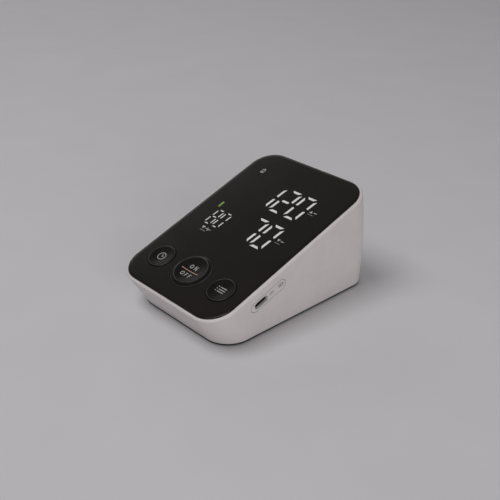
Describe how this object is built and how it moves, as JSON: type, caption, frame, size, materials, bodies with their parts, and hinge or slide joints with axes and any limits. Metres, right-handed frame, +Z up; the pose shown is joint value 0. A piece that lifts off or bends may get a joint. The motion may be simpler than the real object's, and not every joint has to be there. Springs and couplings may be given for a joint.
{
  "type": "blood pressure monitor",
  "caption": "Wedge-shaped table blood pressure monitor: white housing, sloping black gloss panel with lit digits, dished buttons, charging port and cuff air socket, pump and valve inside",
  "frame": {"origin": "on the table, under the middle of the body's bounding box, at the bottom of the rubber feet", "axes": "+Z is up, -Y is the low edge with the buttons that faces the user, +X is the side with the charging port"},
  "size_m": [0.0866, 0.1236, 0.0625],
  "materials": {
    "housing_white": "fine satin moulding",
    "port_white": "fine satin moulding, slightly greyer than the housing",
    "cover_dark": "fine matt texture",
    "panel_black": "polished, smoke black",
    "button_black": "satin dished caps with light print",
    "tape_black": "matt adhesive tape",
    "foot_rubber": "matt",
    "screw_steel": "zinc plated",
    "plunger_white": "plain moulding",
    "switch_dark": "plain moulding",
    "board_green": "solder mask over glass laminate",
    "reflector_white": "plain white moulding",
    "film_frost": "frosted film",
    "led_white": "small white lights",
    "chip_black": "moulded package",
    "connector_cream": "plain moulding",
    "port_steel": "drawn and plated",
    "tongue_black": "plain moulding",
    "socket_grey": "plain moulding",
    "air_plastic": "plain moulding",
    "hose_silicone": "soft tube",
    "yoke_steel": "zinc plated",
    "coil_copper": "enamelled wire",
    "pad_rubber": "matt",
    "magnet_dark": "pressed ferrite",
    "crank_plastic": "plain moulding",
    "cell_sleeve": "printed sleeve over a steel can",
    "contact_nickel": "nickel plated"
  },
  "bodies": {
    "monitor": {"upper_housing": "housing_white", "port_plate": "port_white", "bottom_cover": "cover_dark", "front_panel": "panel_black", "panel_tape": "tape_black", "rubber_feet": "foot_rubber", "housing_screws": "screw_steel", "board_screws": "screw_steel", "clamp_screws": "screw_steel", "switch_bodies": "switch_dark", "main_board": "board_green", "display_reflector": "reflector_white", "display_film": "film_frost", "led_chips": "led_white", "controller_chip": "chip_black", "buzzer": "chip_black", "wire_connectors": "connector_cream", "usb_shell": "port_steel", "usb_tongue": "tongue_black", "air_socket": "socket_grey", "air_manifold": "air_plastic", "pressure_sensor": "air_plastic", "valve_body": "air_plastic", "pump_cap": "air_plastic", "pump_head": "air_plastic", "pump_clamp": "air_plastic", "pump_hose": "hose_silicone", "valve_hose": "hose_silicone", "sensor_hose": "hose_silicone", "valve_frame": "yoke_steel", "pump_motor": "yoke_steel", "valve_coil": "coil_copper", "pump_diaphragm": "pad_rubber", "pump_sleeve": "pad_rubber", "motor_magnets": "magnet_dark", "battery_cells": "cell_sleeve", "plate_contacts": "contact_nickel", "bow_contacts": "contact_nickel"},
    "set_button": {"set_button": "button_black", "set_plunger": "plunger_white"},
    "start_button": {"start_button": "button_black", "start_plunger": "plunger_white"},
    "mem_button": {"mem_button": "button_black", "mem_plunger": "plunger_white"},
    "battery_door": {"battery_door": "cover_dark"},
    "pump_rotor": {"pump_rotor": "coil_copper", "pump_crank": "crank_plastic"},
    "valve_plunger": {"valve_plunger": "yoke_steel", "valve_pad": "pad_rubber"}
  },
  "joints": [
    {"name": "set_press", "type": "slide", "parent": "monitor", "child": "set_button", "axis": [0, 0.3305, -0.9438], "range_m": [0, 0.0005], "stiffness_N_per_m": 1500},
    {"name": "start_press", "type": "slide", "parent": "monitor", "child": "start_button", "axis": [0, 0.3305, -0.9438], "range_m": [0, 0.0005], "stiffness_N_per_m": 1500},
    {"name": "mem_press", "type": "slide", "parent": "monitor", "child": "mem_button", "axis": [0, 0.3305, -0.9438], "range_m": [0, 0.0005], "stiffness_N_per_m": 1500},
    {"name": "battery_door_slide", "type": "slide", "parent": "monitor", "child": "battery_door", "axis": [0, 1, 0], "range_m": [0, 0.058]},
    {"name": "pump_spin", "type": "hinge", "parent": "monitor", "child": "pump_rotor", "pos_m": [0.01294, 0.03942, 0.0262], "axis": [1, 0, 0], "continuous": true},
    {"name": "valve_stroke", "type": "slide", "parent": "monitor", "child": "valve_plunger", "axis": [-1, 0, 0], "range_m": [0, 0.0008], "stiffness_N_per_m": 300}
  ]
}
